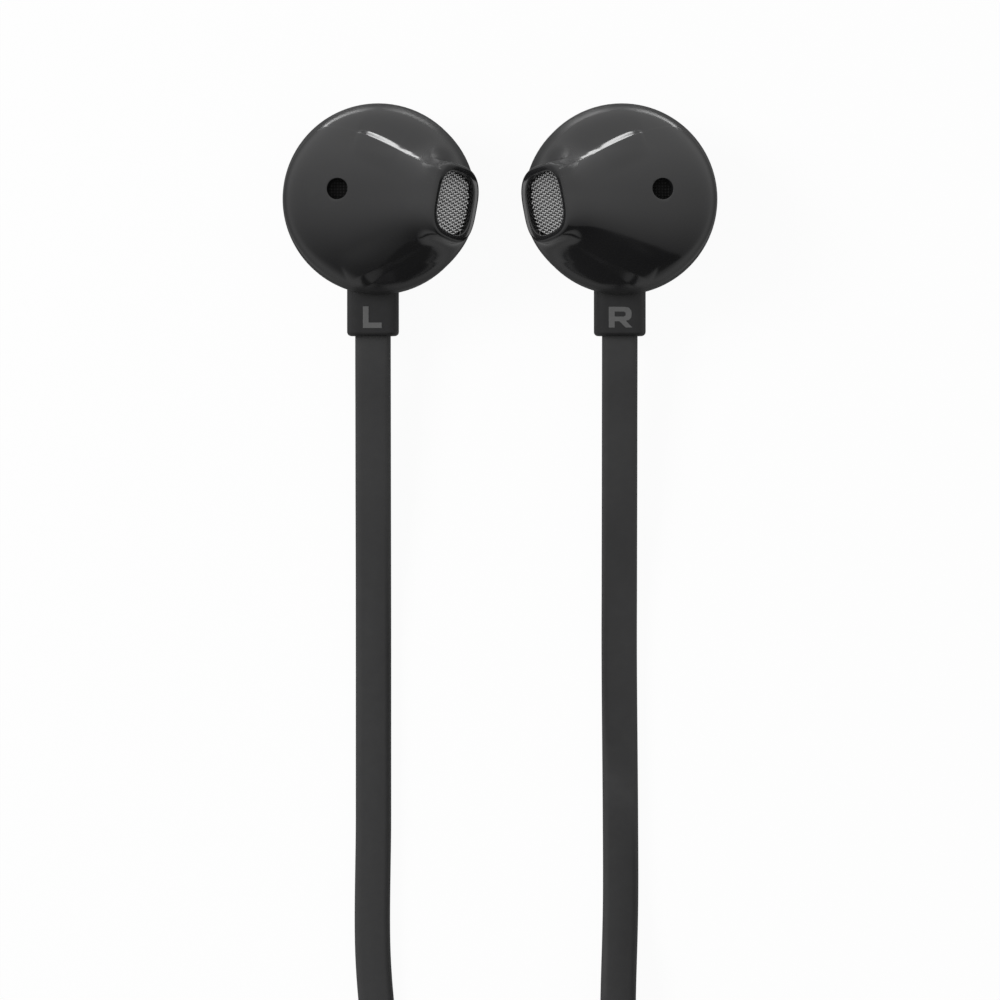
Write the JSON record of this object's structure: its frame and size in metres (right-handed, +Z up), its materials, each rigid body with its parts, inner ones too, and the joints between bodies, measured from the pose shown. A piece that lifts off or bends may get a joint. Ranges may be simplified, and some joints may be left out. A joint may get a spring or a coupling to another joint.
{
  "type": "wired earphones",
  "caption": "Semi-open wired earphones: two round heads with angled oval nozzles and short neck sleeves on flat cords, with an in-line remote, splitter and straight jack plug.",
  "frame": {"origin": "on the surface the earphones lie on, at the middle of the two heads with their neck sleeves, halfway between left and right", "axes": "+X from the left head to the right one, +Y away from the cords, +Z up out of the faces"},
  "size_m": [0.0384, 0.2092, 0.0132],
  "materials": {
    "gloss_black": "glossy moulded plastic",
    "satin_black": "satin soft-touch rubber",
    "black_cord": "matt flat cord jacket",
    "steel": "stainless mesh and cans",
    "acoustic_cloth": "fine black acoustic cloth",
    "frame_plastic": "pale driver frame plastic",
    "nickel": "nickel-plated iron",
    "magnet": "sintered magnet",
    "copper": "enamelled copper winding",
    "film": "thin polymer film",
    "board": "solder-masked circuit board",
    "gold": "gold plating on brass"
  },
  "bodies": {
    "earphones": {"left_front_shell": "gloss_black", "left_rear_shell": "gloss_black", "left_nozzle_grille": "steel", "left_nozzle_screen": "acoustic_cloth", "left_vent_screen": "acoustic_cloth", "left_driver_frame": "frame_plastic", "left_driver_yoke": "nickel", "left_driver_magnet": "magnet", "left_driver_top_plate": "nickel", "left_terminal_board": "board", "left_neck_sleeve": "satin_black", "left_cord_anchor": "satin_black", "right_front_shell": "gloss_black", "right_rear_shell": "gloss_black", "right_nozzle_grille": "steel", "right_nozzle_screen": "acoustic_cloth", "right_vent_screen": "acoustic_cloth", "right_driver_frame": "frame_plastic", "right_driver_yoke": "nickel", "right_driver_magnet": "magnet", "right_driver_top_plate": "nickel", "right_terminal_board": "board", "right_neck_sleeve": "satin_black", "right_cord_anchor": "satin_black", "left_cord": "black_cord", "right_cord_upper": "black_cord", "right_cord_lower": "black_cord", "main_cord_tail": "black_cord", "branch_hank": "black_cord", "main_hank": "black_cord", "cord_splitter": "satin_black", "cord_tie": "satin_black", "remote_front_shell": "gloss_black", "remote_rear_shell": "gloss_black", "remote_board": "board", "remote_switch": "steel", "remote_microphone": "steel", "plug_grip": "gloss_black", "plug_strain_relief": "satin_black", "plug_core": "satin_black", "plug_sleeve_contact": "gold", "plug_second_ring": "gold", "plug_first_ring": "gold", "plug_tip": "gold"},
    "left_driver_cone": {"left_voice_coil": "copper", "left_diaphragm": "film"},
    "right_driver_cone": {"right_voice_coil": "copper", "right_diaphragm": "film"},
    "remote_key": {"remote_button": "gloss_black"}
  },
  "joints": [
    {"name": "left_driver_stroke", "type": "slide", "parent": "earphones", "child": "left_driver_cone", "axis": [0, 0, 1], "range_m": [-0.0002, 0.0002], "stiffness_N_per_m": 300},
    {"name": "right_driver_stroke", "type": "slide", "parent": "earphones", "child": "right_driver_cone", "axis": [0, 0, 1], "range_m": [-0.0002, 0.0002], "stiffness_N_per_m": 300},
    {"name": "remote_button_press", "type": "slide", "parent": "earphones", "child": "remote_key", "axis": [0, 0, -1], "range_m": [0, 0.0003], "stiffness_N_per_m": 5000}
  ]
}
